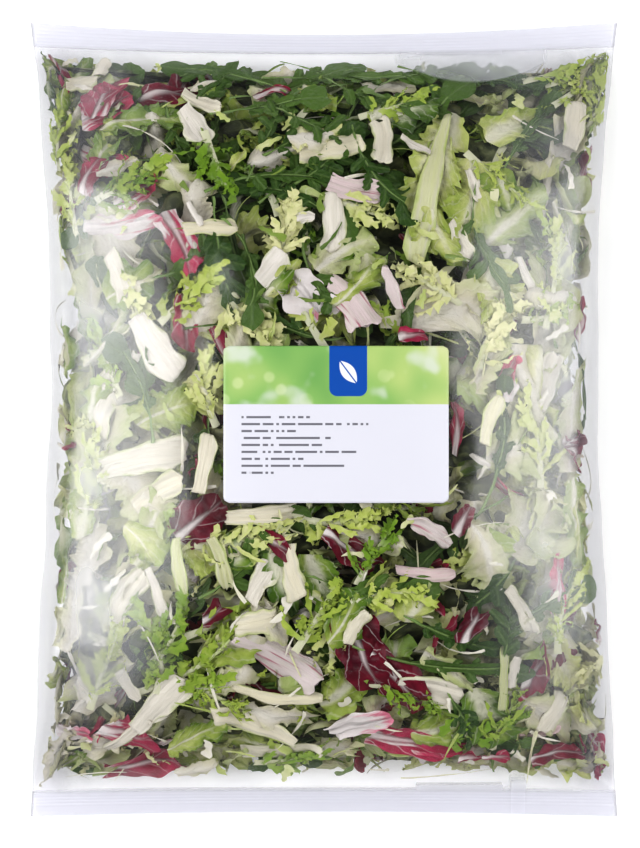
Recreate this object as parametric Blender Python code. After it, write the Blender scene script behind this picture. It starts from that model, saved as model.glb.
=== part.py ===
"""A sealed pillow bag of clear film, full of cut salad leaves, lying on its back with its label up.

Two solids: the bag, closed over its leaves out to the film, and the paper label stuck on its front.
The frame has +Z up and +Y towards the bag's top seal. Its origin is under the middle of the bag, on
the surface that the bag lies on.
"""

import math

import bmesh
import bpy

# Outline of the bag, seen from above, in metres. Filling a flat bag pulls its sides and ends inwards.
LENGTH = 0.406
SEAL_WIDTH = 0.300
WAIST_WIDTH = 0.276
WAIST_PLACE = 0.2
WAIST_POWER_ABOVE = 1.8
WAIST_POWER_BELOW = 1.5
TOP_END_SAG = 0.0070
BOTTOM_END_SAG = 0.0032
END_SAG_POWER = 8

# Section of the bag: the rim is its widest line, the crown rises above it and the belly hangs below it.
THICKNESS = 0.076
RIM_HEIGHT = 0.030
SEAL_HEIGHT = 0.015
SEAL_CORNER_DROOP = 0.008
SEAL_BAND = 0.012
SEAL_THICKNESS = 0.0012
BELLY_PRESS = 1.10
SEAL_SLOPE_START = 0.55
LOOSE_RISE = 0.2

# Exponents of the rounded profiles: p makes the middle flatter, and q makes the shoulder rounder.
CROWN_ACROSS = (2.5, 0.62)
CROWN_ALONG = (3.0, 0.66)
BELLY_ACROSS = (5.0, 0.55)
BELLY_ALONG = (5.0, 0.60)

# Folds that run from each seal into the bag, and the slack waves that the leaves leave in the film.
PLEAT_PITCH = 0.041
PLEAT_HEIGHT = 0.0022
PLEAT_REACH = 0.055
WAVE_HEIGHT = 0.0014
WAVE_PITCHES = (0.083, 0.061)

# The label, and where its middle lies on the front of the bag.
LABEL_SIZE = (0.112, 0.078)
LABEL_MIDDLE = (0.0060, -0.0025)
LABEL_THICKNESS = 0.0006
LABEL_GAP = 0.0004
LABEL_CORNER = 0.0020
LABEL_SMOOTH_MARGIN = 0.012

# How finely the solids are cut.
BAG_COLUMNS = 32
BAG_ROWS = 48
LABEL_COLUMNS = 16
LABEL_ROWS = 12
CORNER_SHARE = 0.99

FILM_GREEN = (0.40, 0.50, 0.24, 1.0)
PAPER_WHITE = (0.88, 0.88, 0.93, 1.0)


def clear_scene():
    """Removes whatever the file holds, so that only this object is in it."""
    for old in list(bpy.data.objects):
        bpy.data.objects.remove(old, do_unlink=True)


def rounded(share, powers):
    """A profile that is 1 in the middle and falls to 0, with an upright end, where share reaches 1."""
    flatness, roundness = powers
    return max(0.0, 1.0 - min(1.0, abs(share)) ** flatness) ** roundness


def eased(value, low, high):
    """0 below low and 1 above high, with a smooth step between them."""
    t = min(1.0, max(0.0, (value - low) / (high - low)))
    return t * t * (3.0 - 2.0 * t)


def half_width(along):
    """Half of the bag's width at a share of its half length: narrowest at the waist, above the middle."""
    spread = (SEAL_WIDTH - WAIST_WIDTH) / 2.0
    if along > WAIST_PLACE:
        return WAIST_WIDTH / 2.0 + spread * ((along - WAIST_PLACE) / (1.0 - WAIST_PLACE)) ** WAIST_POWER_ABOVE
    return WAIST_WIDTH / 2.0 + spread * ((WAIST_PLACE - along) / (1.0 + WAIST_PLACE)) ** WAIST_POWER_BELOW


def lengthwise(across, along):
    """The y of a point on the bag. The ends bow inwards between their corners."""
    sag = TOP_END_SAG if along > 0.0 else BOTTOM_END_SAG
    bow = math.copysign(sag, along) * (1.0 - across ** 2) * abs(along) ** END_SAG_POWER
    return along * LENGTH / 2.0 - bow


def rim_height(across, along):
    """The height of the bag's widest line, which sinks to the seals and further at their corners."""
    to_seal = eased(abs(along), SEAL_SLOPE_START, 1.0)
    seal = SEAL_HEIGHT - SEAL_CORNER_DROOP * across ** 2
    return RIM_HEIGHT * (1.0 - to_seal) + seal * to_seal


def fill_share(along):
    """The share of the filled length, 1 at the inner line of a seal and over 1 on the seal itself."""
    return abs(along) / (1.0 - 2.0 * SEAL_BAND / LENGTH)


def on_label(x, y):
    """1 on and close to the label, whose paper keeps the film smooth, and 0 away from it."""
    beyond_x = abs(x - LABEL_MIDDLE[0]) - LABEL_SIZE[0] / 2.0
    beyond_y = abs(y - LABEL_MIDDLE[1]) - LABEL_SIZE[1] / 2.0
    return 1.0 - eased(max(beyond_x, beyond_y), 0.0, LABEL_SMOOTH_MARGIN)


def film_waves(x, y, along):
    """How far folds and slack stand proud of the smooth pillow: pleats by the seals, waves elsewhere."""
    from_seal = (1.0 - fill_share(along)) * LENGTH / 2.0
    near_seal = math.exp(-((2.0 * from_seal / PLEAT_REACH - 1.0) ** 2))
    drift = math.sin(x / PLEAT_PITCH)
    pleats = PLEAT_HEIGHT * near_seal * math.cos(2.0 * math.pi * x / PLEAT_PITCH + drift)
    long_turn, short_turn = [2.0 * math.pi / pitch for pitch in WAVE_PITCHES]
    slack = math.sin(long_turn * x + 1.3) * math.sin(short_turn * y) + math.sin(short_turn * (x + y))
    return pleats + WAVE_HEIGHT / 2.0 * slack * (1.0 - on_label(x, y))


def crown(x, across, along):
    """The height of the film's upper side."""
    share = fill_share(along)
    rise = (THICKNESS - RIM_HEIGHT) * rounded(share, CROWN_ALONG) * rounded(across, CROWN_ACROSS)
    waves = film_waves(x, lengthwise(across, along), along)
    loose = eased(rise, 0.0, LOOSE_RISE * THICKNESS)
    return rim_height(across, along) + SEAL_THICKNESS / 2.0 + rise + waves * loose


def belly(across, along):
    """The height of the film's lower side, pressed flat where the bag lies on something."""
    share = fill_share(along)
    hang = RIM_HEIGHT * BELLY_PRESS * rounded(share, BELLY_ALONG) * rounded(across, BELLY_ACROSS)
    return max(0.0, rim_height(across, along) - SEAL_THICKNESS / 2.0 - hang)


def cut_block(x_cuts, y_cuts):
    """A cube from -1 to 1, cut across at the given places, with one layer of side faces."""
    block = bmesh.new()
    bmesh.ops.create_cube(block, size=2.0)
    for axis, cuts in (((1.0, 0.0, 0.0), x_cuts), ((0.0, 1.0, 0.0), y_cuts)):
        for place in cuts:
            whole = block.verts[:] + block.edges[:] + block.faces[:]
            point = tuple(place * part for part in axis)
            bmesh.ops.bisect_plane(block, geom=whole, dist=1e-6, plane_co=point, plane_no=axis)
    return block


def finished_object(name, block, collection, colour, roughness):
    """Makes an object from a shaped block, shaded smooth and with a plain material of its own."""
    bmesh.ops.recalc_face_normals(block, faces=block.faces[:])
    mesh = bpy.data.meshes.new(name)
    block.to_mesh(mesh)
    block.free()
    mesh.shade_smooth()
    mesh.set_sharp_from_angle(angle=math.radians(50.0))
    made = bpy.data.objects.new(name, mesh)
    collection.objects.link(made)
    material = bpy.data.materials.new(name)
    material.use_nodes = True
    surface = material.node_tree.nodes["Principled BSDF"]
    surface.inputs["Base Color"].default_value = colour
    surface.inputs["Roughness"].default_value = roughness
    surface.inputs["Metallic"].default_value = 0.0
    mesh.materials.append(material)
    return made


def make_bag(collection):
    """The filled bag: a block whose upper and lower faces are drawn out to the crown and the belly."""
    columns = [2.0 * i / BAG_COLUMNS - 1.0 for i in range(1, BAG_COLUMNS)]
    seal_line = 1.0 - 2.0 * SEAL_BAND / LENGTH
    rows = [math.sin(math.pi * (i / BAG_ROWS - 0.5)) * seal_line for i in range(BAG_ROWS + 1)]
    block = cut_block(columns, rows)
    for vert in block.verts:
        angle, along, side = vert.co
        across = math.sin(angle * math.pi / 2.0)
        x = across * half_width(along)
        z = crown(x, across, along) if side > 0.0 else belly(across, along)
        vert.co = (x, lengthwise(across, along), z)
    return finished_object("bag", block, collection, FILM_GREEN, 0.25)


def height_of_front(x, y):
    """The height of the film's upper side over a point near the middle of the bag."""
    along = 2.0 * y / LENGTH
    return crown(x, x / half_width(along), along)


def make_label(collection):
    """The label: a thin block with rounded corners, bent to the film that it is stuck on."""
    half_x, half_y = LABEL_SIZE[0] / 2.0, LABEL_SIZE[1] / 2.0
    block = cut_block(
        [2.0 * i / LABEL_COLUMNS - 1.0 for i in range(1, LABEL_COLUMNS)],
        [2.0 * i / LABEL_ROWS - 1.0 for i in range(1, LABEL_ROWS)],
    )
    corners = [e for e in block.edges if all(abs(v.co.x * v.co.y) > CORNER_SHARE for v in e.verts)]
    for vert in block.verts:
        vert.co.x *= half_x
        vert.co.y *= half_y
    bmesh.ops.bevel(block, geom=corners, offset=LABEL_CORNER, segments=3, affect="EDGES", profile=0.5)
    for vert in block.verts:
        x, y = vert.co.x + LABEL_MIDDLE[0], vert.co.y + LABEL_MIDDLE[1]
        lift = LABEL_GAP + (LABEL_THICKNESS if vert.co.z > 0.0 else 0.0)
        vert.co = (x, y, height_of_front(x, y) + lift)
    return finished_object("label", block, collection, PAPER_WHITE, 0.45)


def main():
    clear_scene()
    collection = bpy.data.collections.new("bag_of_salad_leaves")
    bpy.context.scene.collection.children.link(collection)
    make_bag(collection)
    make_label(collection)


main()
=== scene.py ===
"""The looks of a sealed bag of mixed salad leaves: its clear film, the leaves inside and the label."""

import math

import bpy
import numpy as np
from mathutils import Matrix, Vector


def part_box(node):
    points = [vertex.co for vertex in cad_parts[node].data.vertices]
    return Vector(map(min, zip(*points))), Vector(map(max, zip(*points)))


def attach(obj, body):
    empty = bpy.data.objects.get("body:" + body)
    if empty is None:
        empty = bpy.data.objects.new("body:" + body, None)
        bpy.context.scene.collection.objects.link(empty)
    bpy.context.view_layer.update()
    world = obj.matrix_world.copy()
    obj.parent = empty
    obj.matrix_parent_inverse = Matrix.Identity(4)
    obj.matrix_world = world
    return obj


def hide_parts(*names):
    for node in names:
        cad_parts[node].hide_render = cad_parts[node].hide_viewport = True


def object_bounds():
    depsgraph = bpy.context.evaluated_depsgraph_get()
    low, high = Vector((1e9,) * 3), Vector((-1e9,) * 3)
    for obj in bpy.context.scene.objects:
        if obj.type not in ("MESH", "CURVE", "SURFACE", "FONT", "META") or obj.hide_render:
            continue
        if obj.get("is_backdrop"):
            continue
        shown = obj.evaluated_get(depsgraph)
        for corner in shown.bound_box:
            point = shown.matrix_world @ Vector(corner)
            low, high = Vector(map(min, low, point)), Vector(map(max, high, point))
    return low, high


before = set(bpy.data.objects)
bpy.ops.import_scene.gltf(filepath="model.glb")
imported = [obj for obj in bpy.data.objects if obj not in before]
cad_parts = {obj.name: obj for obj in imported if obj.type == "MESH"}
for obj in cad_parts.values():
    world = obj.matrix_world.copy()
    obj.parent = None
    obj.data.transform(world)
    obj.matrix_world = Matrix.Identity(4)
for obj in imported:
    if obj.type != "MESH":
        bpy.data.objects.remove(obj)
cad_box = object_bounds()


# The studio: a white sweep under the bag, with a softbox on each side and one beyond each end.
# The bag lies on its back and the camera hangs above it on a long lens, square to the label.

CAMERA_HEIGHT = 2.4
VIEW_LENGTH = 0.4326
SENSOR = 36.0
CAMERA_OFFSET = (-0.0020, -0.0023)
SEAL_LEVEL = 0.012

camera_data = bpy.data.cameras.new("camera")
camera_data.sensor_width = SENSOR
camera_data.lens = SENSOR * (CAMERA_HEIGHT - SEAL_LEVEL) / VIEW_LENGTH
camera_data.clip_end = 20.0
camera = bpy.data.objects.new("camera", camera_data)
camera.location = (*CAMERA_OFFSET, CAMERA_HEIGHT)
bpy.context.scene.collection.objects.link(camera)
bpy.context.scene.camera = camera
bpy.context.scene.view_settings.view_transform = "Standard"
bpy.context.scene.view_settings.look = "Medium High Contrast"


class Socket:
    """An output of a shader node, or a bare tree with no output yet. Arithmetic on it adds Math nodes."""

    def __init__(self, tree, output=None):
        self.tree = tree
        self.output = output

    def add(self, kind, inputs=None, out=0, stops=None, **settings):
        """Adds a node: its settings first, then the values or links of its inputs."""
        node = self.tree.nodes.new("ShaderNode" + kind)
        for name, value in settings.items():
            setattr(node, name, value)
        if stops:
            ramp = node.color_ramp.elements
            while len(ramp) < len(stops):
                ramp.new(0.5)
            for element, (place, colour) in zip(ramp, stops):
                element.position = place
                element.color = (*colour, 1.0)
        for key, value in (inputs or {}).items():
            if isinstance(value, Socket):
                self.tree.links.new(value.output, node.inputs[key])
            else:
                node.inputs[key].default_value = value
        return Socket(self.tree, node.outputs[out] if node.outputs else None)

    def maths(self, operation, first, second=0.0):
        return self.add("Math", {0: first, 1: second}, operation=operation)

    def __add__(self, other):
        return self.maths("ADD", self, other)

    def __sub__(self, other):
        return self.maths("SUBTRACT", self, other)

    def __rsub__(self, other):
        return self.maths("SUBTRACT", other, self)

    def __mul__(self, other):
        return self.maths("MULTIPLY", self, other)

    def __truediv__(self, other):
        return self.maths("DIVIDE", self, other)

    def __pow__(self, other):
        return self.maths("POWER", self, other)

    def __abs__(self):
        return self.maths("ABSOLUTE", self)

    __radd__ = __add__
    __rmul__ = __mul__

    def fract(self):
        return self.maths("FRACT", self)

    def lines(self, low, high):
        """A thin line at each whole number: 1 on it, and 0 well away from it."""
        return abs(self.fract() - 0.5).ease(low, high)

    def most(self, other):
        return self.maths("MAXIMUM", self, other)

    def ease(self, low, high):
        """0 at low and 1 at high, with a smooth step between."""
        inputs = {0: self, 1: low, 2: high, 3: 0.0, 4: 1.0}
        return self.add("MapRange", inputs, interpolation_type="SMOOTHSTEP")

    def mix(self, first, second):
        """The first colour where this is 0 and the second where it is 1."""
        return self.add("Mix", {0: self, 6: rgba(first), 7: rgba(second)}, out=2, data_type="RGBA")

    def ramp(self, *stops):
        """The colours at the stops, each a place and a colour, and blends of them between."""
        return self.add("ValToRGB", {0: self}, stops=stops)

    def read(self, attribute):
        return self.add("Attribute", out="Vector", attribute_name=attribute)

    def split(self):
        return [self.add("SeparateXYZ", {0: self}, out=i) for i in range(3)]

    def noise(self, scale, detail):
        return self.add("TexNoise", {"Vector": self, "Scale": scale, "Detail": detail})

    def bump(self, strength, distance):
        return self.add("Bump", {"Strength": strength, "Distance": distance, "Height": self})


def rgba(colour):
    return colour if isinstance(colour, Socket) else (*colour, 1.0)


def new_material(name):
    """A material with an empty tree, and the tree as a bare Socket."""
    material = bpy.data.materials.new(name)
    material.use_nodes = True
    material.node_tree.nodes.clear()
    return material, Socket(material.node_tree)


def show(tree, surface):
    tree.add("OutputMaterial", {"Surface": surface})


FLOOR_WHITE = (0.95, 0.95, 0.96)
FLOOR_GAP = 0.0004
LAMPS_AIM = (0.0, 0.0, 0.03)
floor_mesh = bpy.data.meshes.new("floor")
floor_mesh.from_pydata([(-6, -6, 0), (6, -6, 0), (6, 6, 0), (-6, 6, 0)], [], [(0, 1, 2, 3)])
floor = bpy.data.objects.new("floor", floor_mesh)
floor.location.z = -FLOOR_GAP
bpy.context.scene.collection.objects.link(floor)
floor_material, tree = new_material("floor")
sweep = {"Base Color": rgba(FLOOR_WHITE), "Roughness": 0.9, "Emission Color": rgba(FLOOR_WHITE)}
show(tree, tree.add("BsdfPrincipled", {**sweep, "Emission Strength": 0.24}))
floor_mesh.materials.append(floor_material)
floor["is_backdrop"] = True

world = bpy.data.worlds.new("studio")
world.use_nodes = True
world.node_tree.nodes.clear()
tree = Socket(world.node_tree)
height = tree.add("TexCoord", out="Generated").split()[2]
surround = tree.add("Background", {"Strength": (1.0 - height.ease(0.10, 0.65)) * 0.30 + 0.04})
tree.add("OutputWorld", {"Surface": surround})
bpy.context.scene.world = world


def softbox(name, place, size, power, mirrored=True):
    """A rectangular lamp that faces the middle of the bag. Unmirrored, it lights but isn't reflected."""
    lamp = bpy.data.lights.new(name, "AREA")
    lamp.shape = "RECTANGLE"
    lamp.size, lamp.size_y = size
    lamp.energy = power
    holder = bpy.data.objects.new(name, lamp)
    holder.location = place
    holder.visible_glossy = mirrored
    towards = Vector(LAMPS_AIM) - holder.location
    holder.rotation_euler = towards.to_track_quat("-Z", "Y").to_euler()
    bpy.context.scene.collection.objects.link(holder)


softbox("softbox_left", (-1.15, 0.00, 0.95), (0.85, 1.6), 15.0)
softbox("softbox_right", (1.15, 0.10, 0.90), (0.80, 1.6), 12.0)
softbox("softbox_end", (-0.45, 1.25, 1.25), (0.7, 0.5), 8.0, mirrored=False)
softbox("softbox_foot", (0.30, -1.25, 1.05), (0.7, 0.5), 6.5, mirrored=False)


# The film: a tube of clear polypropylene, welded flat across both ends and blown out by its filling.
# It is drawn as one closed skin. Its shape is a pillow with a pinched waist and a flat belly.

MILLI = 0.001
bag_low, bag_high = (Vector(corner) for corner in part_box("bag"))
HALF_LENGTH = (bag_high.y - bag_low.y) / 2.0
SEAL_HALF = (bag_high.x - bag_low.x) / 2.0
WAIST_HALF = SEAL_HALF * 0.276 / 0.300
WAIST_PLACE = 0.2
WAIST_POWERS = (1.8, 1.5)
END_SAG = (0.0070, 0.0032)
END_SAG_POWER = 8
CROWN_HEIGHT = 0.076
RIM_HEIGHT = 0.030
SEAL_HEIGHT = 0.015
SEAL_SLOPE_START = 0.55
SEAL_CORNER_DROOP = 0.008
SEAL_BAND = 0.012
SEAL_THICKNESS = 0.0005
REST_LIFT = 0.0004
BELLY_PRESS = 1.10
CROWN_ACROSS, CROWN_ALONG = (2.5, 0.62), (3.0, 0.66)
BELLY_ACROSS, BELLY_ALONG = (5.0, 0.55), (5.0, 0.60)
FILL_HALF = HALF_LENGTH - SEAL_BAND
label_low, label_high = (Vector(corner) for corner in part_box("label"))
label_middle = (label_low + label_high) / 2.0
label_half = (label_high - label_low) / 2.0


def eased(value, low, high):
    t = np.clip((value - low) / (high - low), 0.0, 1.0)
    return t * t * (3.0 - 2.0 * t)


def rounded(share, powers):
    flatness, roundness = powers
    return np.clip(1.0 - np.abs(np.clip(share, -1.0, 1.0)) ** flatness, 0.0, 1.0) ** roundness


def half_width(along):
    """Half of the bag's width: narrowest at the waist, which lies a little above the middle."""
    above = np.clip((along - WAIST_PLACE) / (1.0 - WAIST_PLACE), 0.0, 1.0) ** WAIST_POWERS[0]
    below = np.clip((WAIST_PLACE - along) / (1.0 + WAIST_PLACE), 0.0, 1.0) ** WAIST_POWERS[1]
    return WAIST_HALF + (SEAL_HALF - WAIST_HALF) * (above + below)


def film_section(angle, along):
    """Points of the smooth skin: angle goes round it from the middle of the front, along its length."""
    across = np.sin(angle)
    width = half_width(along)
    sag = np.where(along > 0.0, *END_SAG) * (1.0 - across**2) * np.abs(along) ** END_SAG_POWER
    to_seal = eased(np.abs(along), SEAL_SLOPE_START, 1.0)
    seal = SEAL_HEIGHT - SEAL_CORNER_DROOP * across**2
    rim = RIM_HEIGHT * (1.0 - to_seal) + seal * to_seal
    share = along * HALF_LENGTH / FILL_HALF
    rise = (CROWN_HEIGHT - RIM_HEIGHT) * rounded(share, CROWN_ALONG) * rounded(across, CROWN_ACROSS)
    hang = RIM_HEIGHT * BELLY_PRESS * rounded(share, BELLY_ALONG) * rounded(across, BELLY_ACROSS)
    half_weld = SEAL_THICKNESS / 2.0
    front = rim + half_weld + rise
    back = np.maximum(REST_LIFT, rim - half_weld - hang)
    height = np.where(np.cos(angle) >= 0.0, front, back)
    return np.stack([across * width, along * HALF_LENGTH - np.sign(along) * sag, height], axis=-1)


# The skin as a table: rows at even steps along the film's crown, columns at even steps round it.
SKIN_ROWS, SKIN_COLUMNS = 361, 241
CROWN_SHARES = np.linspace(-1.0, 1.0, 2001)
LOOP_ANGLES = np.linspace(-math.pi, math.pi, 1601)


def run_of(line):
    """The distance from a line's start to each of its points."""
    return np.concatenate([[0.0], np.cumsum(np.linalg.norm(np.diff(line, axis=0), axis=1))])


crown_line = film_section(0.0 * CROWN_SHARES, CROWN_SHARES)
crown_run = run_of(crown_line)
crown_run -= crown_run[len(crown_run) // 2]
row_runs = np.linspace(crown_run[0], crown_run[-1], SKIN_ROWS)
skin_rows = []
for share in np.interp(row_runs, crown_run, CROWN_SHARES):
    loop = film_section(LOOP_ANGLES, np.full_like(LOOP_ANGLES, share))
    run = run_of(loop)
    even = np.linspace(0.0, run[-1], SKIN_COLUMNS)
    skin_rows.append(np.stack([np.interp(even, run, loop[:, i]) for i in range(3)], axis=-1))
SKIN = np.array(skin_rows)
GIRTH = float(np.linalg.norm(np.diff(SKIN[SKIN_ROWS // 2], axis=0), axis=1).sum())
slope_along = np.gradient(SKIN, axis=0)
slope_round = np.gradient(SKIN, axis=1)
slope_round[:, 0] = slope_round[:, -1] = (SKIN[:, 1] - SKIN[:, -2]) / 2.0
SKIN_NORMALS = np.cross(slope_round, slope_along)
SKIN_NORMALS /= np.linalg.norm(SKIN_NORMALS, axis=-1, keepdims=True) + 1e-12
RUN_ENDS = (crown_run[0], crown_run[-1])


def read_table(table, turn, run):
    """Reads the skin's table at turn, a share round the bag from -0.5 to 0.5, and run, in metres along it."""
    row = np.clip((run - RUN_ENDS[0]) / (RUN_ENDS[1] - RUN_ENDS[0]), 0.0, 1.0) * (SKIN_ROWS - 1.001)
    column = np.mod(turn + 0.5, 1.0) * (SKIN_COLUMNS - 1.001)
    i, j = row.astype(int), column.astype(int)
    a, b = (row - i)[..., None], (column - j)[..., None]
    near = table[i, j] * (1.0 - b) + table[i, j + 1] * b
    far = table[i + 1, j] * (1.0 - b) + table[i + 1, j + 1] * b
    return near * (1.0 - a) + far * a


def patch(points, share=None, flat=None, ring=False, caps=False, sunk=None):
    """A grid of points as one patch of a mesh, with what its material reads at each point."""
    rows, columns = points.shape[:2]
    blank = np.zeros_like(points)
    index = np.arange(rows * columns).reshape(rows, columns)
    if ring:
        index = np.hstack([index, index[:, :1]])
    corners = [(0, 0), (0, 1), (1, 1), (1, 0)]
    down, side = np.meshgrid(np.arange(rows - 1), np.arange(index.shape[1] - 1), indexing="ij")
    faces = np.stack([index[down + a, side + b] for a, b in corners], axis=-1).reshape(-1, 4)
    spread = np.array([rows - 1, index.shape[1] - 1])
    places = [np.stack([(side + b) / spread[1], (down + a) / spread[0]], axis=-1) for a, b in corners]
    made = {
        "points": points.reshape(-1, 3),
        "share": (blank if share is None else share).reshape(-1, 3),
        "flat": (blank if flat is None else flat).reshape(-1, 3),
        "faces": [list(face) for face in faces],
        "places": np.stack(places, axis=-2).reshape(-1, 2),
        "sunk": (blank[..., 0] if sunk is None else sunk).ravel(),
    }
    if caps:
        for end, order in ((0, 1), (rows - 1, -1)):
            made["faces"].append(list(index[end, :-1][::order])[::-1])
            around = np.linspace(0.0, 2.0 * math.pi, columns, endpoint=False)
            disc = np.stack([0.5 + 0.05 * np.cos(around), 0.02 + end * 0.96 / (rows - 1) + 0 * around], -1)
            made["places"] = np.vstack([made["places"], disc])
    return made


def make_piece(name, patches, material):
    """Joins patches into one object. Each patch has its own cell of the map OFBake."""
    mesh = bpy.data.meshes.new(name)
    starts = np.cumsum([0] + [len(p["points"]) for p in patches])
    faces = [[v + int(s) for v in face] for p, s in zip(patches, starts) for face in p["faces"]]
    mesh.from_pydata(np.vstack([p["points"] for p in patches]).tolist(), [], faces)
    for key in ("share", "flat"):
        values = np.vstack([p[key] for p in patches]).astype(np.float32)
        mesh.attributes.new(key, "FLOAT_VECTOR", "POINT").data.foreach_set("vector", values.ravel())
    values = np.concatenate([p["sunk"] for p in patches]).astype(np.float32)
    mesh.attributes.new("sunk", "FLOAT", "POINT").data.foreach_set("value", values)
    side = math.ceil(math.sqrt(len(patches)))
    cells = []
    for i, p in enumerate(patches):
        cells.append((np.array([i % side, i // side]) + 0.06 + 0.88 * p["places"]) / side)
    layer = mesh.uv_layers.new(name="OFBake")
    layer.uv.foreach_set("vector", np.vstack(cells).astype(np.float32).ravel())
    mesh.shade_smooth()
    mesh.materials.append(material)
    piece = bpy.data.objects.new(name, mesh)
    bpy.context.scene.collection.objects.link(piece)
    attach(piece, "root")
    return piece


def within(value, low, high, soft):
    """1 between low and high, with soft edges."""
    return value.ease(low - soft, low + soft) * (1.0 - value.ease(high - soft, high + soft))


FILM_COLUMNS = 240
PLEATS_AN_END = 30
PLEAT_REACHES = (0.018, 0.070)
PLEAT_WIDTHS = (0.0025, 0.0055)
PLEAT_HEIGHTS = (0.5, 1.6)
PLEAT_LEAN = 0.45
SLACK_WAVES = 14
SLACK_PITCHES = (0.028, 0.080)
SLACK = 0.0005
MOST_INWARD = -0.0006
LABEL_MARGIN = 0.018
film_random = np.random.default_rng(41)


def film_relief(turn, run):
    """How far folds stand out of the smooth skin: pleats by the seals, and slack over the leaves."""
    relief = np.zeros_like(run)
    for end in (-1.0, 1.0):
        inward = np.maximum(0.0, RUN_ENDS[1] - SEAL_BAND - end * run)
        for i in range(PLEATS_AN_END):
            start = (i + 0.5 + film_random.uniform(-0.4, 0.4)) / PLEATS_AN_END - 0.5
            reach = film_random.uniform(*PLEAT_REACHES)
            lean = film_random.uniform(-PLEAT_LEAN, PLEAT_LEAN)
            wide = film_random.uniform(*PLEAT_WIDTHS)
            high = film_random.uniform(*PLEAT_HEIGHTS) * MILLI
            gap = np.mod(turn - start + 0.5, 1.0) - 0.5
            aside = gap * GIRTH - lean * inward
            grow = np.exp(-inward / reach) * eased(inward, 0.0, 0.006)
            relief += high * grow * np.exp(-np.abs(aside / (wide + 0.05 * inward)) ** 1.4)
    for _ in range(SLACK_WAVES):
        heading = film_random.uniform(0.0, 2.0 * math.pi)
        pitch = film_random.uniform(*SLACK_PITCHES)
        phase = film_random.uniform(0.0, 2.0 * math.pi)
        around = GIRTH / (2 * math.pi) * np.sin(2 * math.pi * turn)
        along = math.cos(heading) * run + math.sin(heading) * around
        relief += SLACK * (pitch / 0.06) / 2.2 * np.sin(2.0 * math.pi * along / pitch + phase)
    loose = eased(RUN_ENDS[1] - SEAL_BAND - np.abs(run), 0.0, 0.02)
    x, y, _ = np.moveaxis(read_table(SKIN, turn, run), -1, 0)
    beyond = np.maximum(np.abs(x - label_middle.x) - label_half.x, np.abs(y - label_middle.y) - label_half.y)
    free = np.where(np.abs(turn) < 0.25, eased(beyond, 0.0, LABEL_MARGIN), 1.0)
    return np.maximum(relief, MOST_INWARD) * loose * free


CRIMP_HEIGHT, CRIMP_PITCH = 0.00010, 0.0015
seal_runs = np.linspace(0.0, SEAL_BAND, 25)
fill_runs = np.linspace(RUN_ENDS[0] + SEAL_BAND, RUN_ENDS[1] - SEAL_BAND, 200)[1:-1]
film_runs = np.concatenate([RUN_ENDS[0] + seal_runs, fill_runs, RUN_ENDS[1] - seal_runs[::-1]])
film_turns = np.linspace(-0.5, 0.5, FILM_COLUMNS, endpoint=False)
run_grid, turn_grid = np.meshgrid(film_runs, film_turns, indexing="ij")
film_points = read_table(SKIN, turn_grid, run_grid)
film_points += read_table(SKIN_NORMALS, turn_grid, run_grid) * film_relief(turn_grid, run_grid)[..., None]
film_points[..., 2] = np.maximum(film_points[..., 2], REST_LIFT)
from_end = RUN_ENDS[1] - np.abs(run_grid)
crimp = CRIMP_HEIGHT * np.sin(2.0 * math.pi * from_end / CRIMP_PITCH) * eased(from_end, 0.001, 0.002)
in_seal = 1.0 - eased(from_end, SEAL_BAND - 0.002, SEAL_BAND + 0.001)
film_points[..., 2] += crimp * in_seal

film_share = np.repeat(in_seal[..., None], 3, axis=-1)
film_material, tree = new_material("film")
weld = tree.read("share").split()[0]
place = tree.add("TexCoord", out="Object")
x, y, _ = place.split()
across = abs(x)
from_middle = abs(y)
cloud = place.noise(14.0, 3.0)
fine = place.noise(420.0, 2.0)
patchy = place.noise(26.0, 2.0).ease(0.44, 0.66)
# The film's sides are milky: partly haze in the film and partly a painted reflection of the side softboxes.
# Less so where they near the ends and at the very edge.
side_haze_and_painted_reflection = (across + (cloud - 0.5) * 0.03).ease(0.066, 0.124) * (patchy * 0.22 + 0.20)
side_haze_and_painted_reflection = side_haze_and_painted_reflection * (1.0 - y.ease(0.080, 0.150) * 0.45) * (1.0 - across.ease(0.122, 0.136) * 0.8)
side_haze_and_painted_reflection = side_haze_and_painted_reflection * (1.0 - (y * -1.0).ease(0.125, 0.160) * 0.8)
# Its rims and the strips beside the welds are empty film, two layers thick.
rims = (across + (cloud - 0.5) * 0.01).ease(0.124, 0.138) * 0.21
ends = (from_middle + (cloud - 0.5) * 0.012).ease(0.187, 0.1945) * 0.52
# A slack fold hangs under the top weld, its doubled film and its sheen painted as a milky band, and the
# back's lengthwise seam crosses the bottom one.
slack_line = (x - 0.075) ** 2.0 * 7.5 + 0.1705
slack = (y - slack_line).ease(-0.0008, 0.0010) * within(x, 0.037, 0.114, 0.003) * (patchy * 0.16 + 0.30)
fin = within(x, 0.0950, 0.1030, 0.0005) * (1.0 - y.ease(-0.1860, -0.1800)) * 0.68
overlap = within(x, 0.047, 0.091, 0.0004) * from_middle.ease(0.1850, 0.1862) * 0.60
alpha = side_haze_and_painted_reflection.most(ends).most(rims).most(weld * 0.60).most(slack).most(fin).most(overlap)
bump = fine.bump(0.12, 0.0002)
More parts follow.
